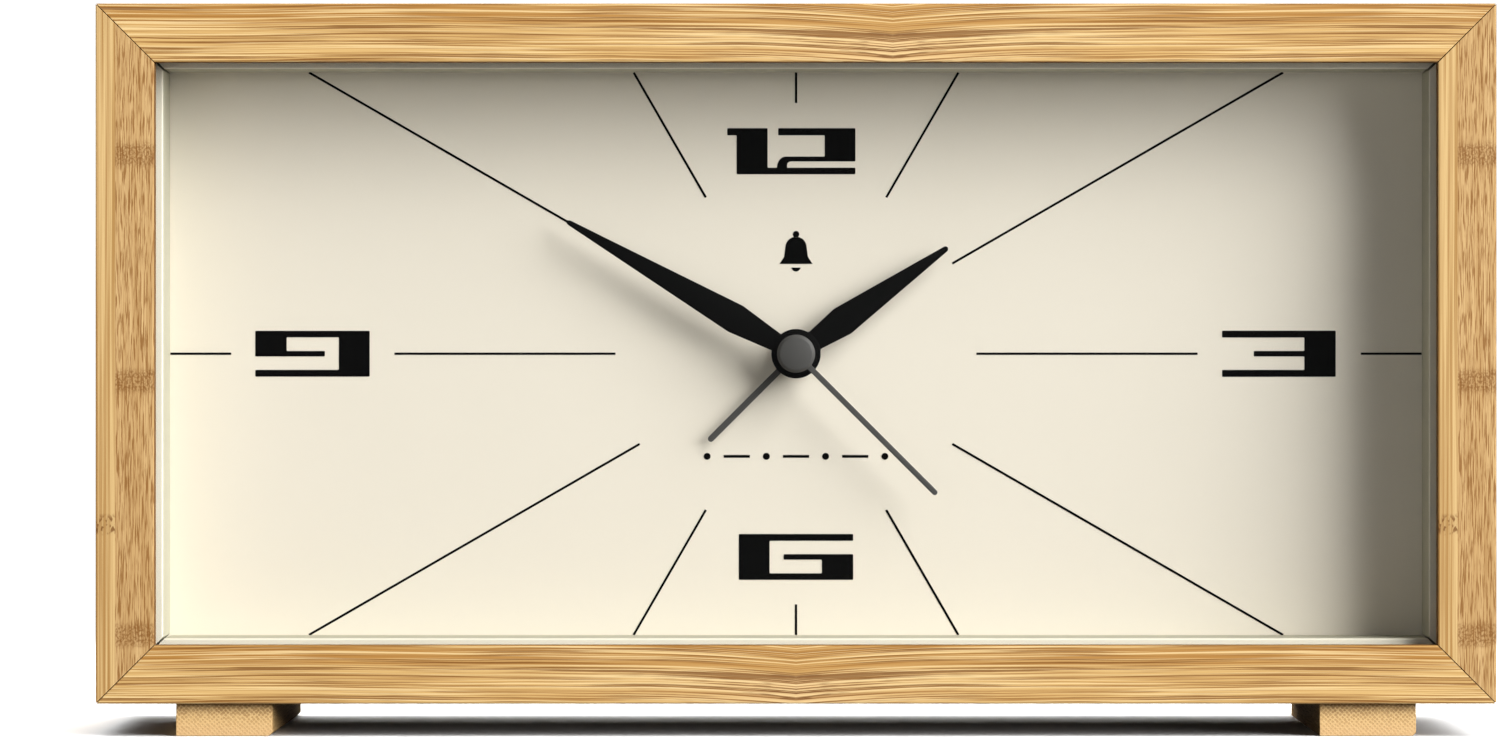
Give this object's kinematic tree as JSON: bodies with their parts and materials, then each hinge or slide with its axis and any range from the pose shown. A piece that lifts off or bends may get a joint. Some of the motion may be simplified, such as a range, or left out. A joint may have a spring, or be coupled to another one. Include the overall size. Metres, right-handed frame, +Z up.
{
  "type": "mantel alarm clock",
  "caption": "Rectangular bamboo mantel clock with a recessed cream dial behind glass, four hands, block feet and a battery quartz alarm movement reached from the back.",
  "frame": {"origin": "under the middle of the case, on the surface that the two feet stand on", "axes": "+X to the right seen from the front, +Y from the dial towards the back, +Z up"},
  "size_m": [0.2, 0.054, 0.1047],
  "materials": {
    "case_bamboo": "caramel bamboo, satin lacquer",
    "foot_bamboo": "caramel bamboo, end grain to the front",
    "block_wood": "bare softwood",
    "clear_glass": "clear, polished edges",
    "cream_spacer": "cream card, matt",
    "cream_dial": "cream print on board, matt",
    "black_panel": "matt black fibreboard",
    "black_housing": "fine spark-eroded black plastic",
    "black_knob": "ribbed black plastic",
    "screw_steel": "zinc plated",
    "white_plastic": "natural acetal",
    "switch_plastic": "white plastic",
    "gear_brass": "bright",
    "contact_brass": "nickel-washed brass",
    "motor_steel": "bare electrical steel",
    "copper_wire": "enamelled copper wire",
    "circuit_green": "green solder mask",
    "component_black": "black resin",
    "crystal_steel": "drawn can",
    "black_hand": "satin black paint",
    "grey_hand": "dark grey satin paint",
    "battery_jacket": "printed film jacket"
  },
  "bodies": {
    "case": {"case_top": "case_bamboo", "case_right": "case_bamboo", "case_bottom": "case_bamboo", "case_left": "case_bamboo", "foot_left": "foot_bamboo", "foot_right": "foot_bamboo", "corner_block_1": "block_wood", "corner_block_2": "block_wood", "corner_block_3": "block_wood", "corner_block_4": "block_wood", "glass_lens": "clear_glass", "spacer_top": "cream_spacer", "spacer_right": "cream_spacer", "spacer_bottom": "cream_spacer", "spacer_left": "cream_spacer", "dial_plate": "cream_dial", "back_panel": "black_panel", "movement_front_housing": "black_housing", "movement_rear_housing": "black_housing", "panel_screw_1": "screw_steel", "panel_screw_2": "screw_steel", "panel_screw_3": "screw_steel", "panel_screw_4": "screw_steel", "movement_screw_left": "screw_steel", "movement_screw_right": "screw_steel", "middle_plate": "white_plastic", "coil_bobbin": "white_plastic", "alarm_contact_leaf": "contact_brass", "battery_plus_contact": "contact_brass", "battery_minus_contact": "contact_brass", "stator": "motor_steel", "coil_core": "motor_steel", "coil_winding": "copper_wire", "circuit_board": "circuit_green", "chip_cap": "component_black", "buzzer": "component_black", "quartz_crystal": "crystal_steel"},
    "second": {"second_wheel": "gear_brass", "second_hand": "grey_hand", "second_hand_cap": "grey_hand"},
    "third": {"third_wheel": "white_plastic"},
    "centre": {"centre_wheel": "gear_brass"},
    "intermediate": {"intermediate_wheel": "white_plastic"},
    "rotor": {"rotor": "motor_steel"},
    "minute": {"cannon_pinion": "gear_brass", "minute_hand": "black_hand"},
    "minute_transfer": {"minute_wheel": "white_plastic"},
    "hour": {"hour_wheel": "white_plastic", "hour_hand": "black_hand"},
    "time_set": {"time_set_shaft": "white_plastic", "time_set_knob": "black_knob"},
    "alarm": {"alarm_wheel": "white_plastic", "alarm_hand": "grey_hand"},
    "alarm_set": {"alarm_set_shaft": "white_plastic", "alarm_set_knob": "black_knob"},
    "switch": {"alarm_switch": "switch_plastic"},
    "battery": {"battery_cell": "battery_jacket"}
  },
  "joints": [
    {"name": "second_hand_turn", "type": "hinge", "parent": "case", "child": "second", "pos_m": [0, 0, 0.0547], "axis": [0, 1, 0], "continuous": true},
    {"name": "third_wheel_turn", "type": "hinge", "parent": "case", "child": "third", "pos_m": [0, 0, 0.0632], "axis": [0, 1, 0], "continuous": true},
    {"name": "centre_wheel_turn", "type": "hinge", "parent": "case", "child": "centre", "pos_m": [0, 0, 0.0547], "axis": [0, 1, 0], "continuous": true},
    {"name": "intermediate_wheel_turn", "type": "hinge", "parent": "case", "child": "intermediate", "pos_m": [0.00438, 0, 0.04712], "axis": [0, 1, 0], "continuous": true},
    {"name": "rotor_turn", "type": "hinge", "parent": "case", "child": "rotor", "pos_m": [0.01028, 0, 0.04608], "axis": [0, 1, 0], "continuous": true},
    {"name": "minute_hand_turn", "type": "hinge", "parent": "case", "child": "minute", "pos_m": [0, 0, 0.0547], "axis": [0, 1, 0], "continuous": true},
    {"name": "minute_wheel_turn", "type": "hinge", "parent": "case", "child": "minute_transfer", "pos_m": [0.00564, 0, 0.05675], "axis": [0, 1, 0], "continuous": true},
    {"name": "hour_hand_turn", "type": "hinge", "parent": "case", "child": "hour", "pos_m": [0, 0, 0.0547], "axis": [0, 1, 0], "continuous": true},
    {"name": "time_set_knob_turn", "type": "hinge", "parent": "case", "child": "time_set", "pos_m": [0.01128, 0, 0.0588], "axis": [0, 1, 0], "continuous": true},
    {"name": "alarm_set_knob_turn", "type": "hinge", "parent": "case", "child": "alarm_set", "pos_m": [-0.0087, 0, 0.05876], "axis": [0, 1, 0], "continuous": true},
    {"name": "alarm_hand_turn", "type": "hinge", "parent": "case", "child": "alarm", "pos_m": [0, 0, 0.0547], "axis": [0, 1, 0], "continuous": true},
    {"name": "alarm_switch_slide", "type": "slide", "parent": "case", "child": "switch", "axis": [1, 0, 0], "range_m": [0, 0.004]},
    {"name": "battery_lift", "type": "slide", "parent": "case", "child": "battery", "axis": [0, 1, 0], "range_m": [0, 0.02]}
  ],
  "couplings": [
    {"joint": "third_wheel_turn", "follows": "second_hand_turn", "ratio": -0.13333},
    {"joint": "centre_wheel_turn", "follows": "second_hand_turn", "ratio": 0.016667},
    {"joint": "intermediate_wheel_turn", "follows": "second_hand_turn", "ratio": -6},
    {"joint": "rotor_turn", "follows": "second_hand_turn", "ratio": 30},
    {"joint": "minute_wheel_turn", "follows": "minute_hand_turn", "ratio": -0.33333},
    {"joint": "hour_hand_turn", "follows": "minute_hand_turn", "ratio": 0.083333},
    {"joint": "time_set_knob_turn", "follows": "minute_hand_turn", "ratio": 1},
    {"joint": "alarm_hand_turn", "follows": "alarm_set_knob_turn", "ratio": -0.2}
  ]
}
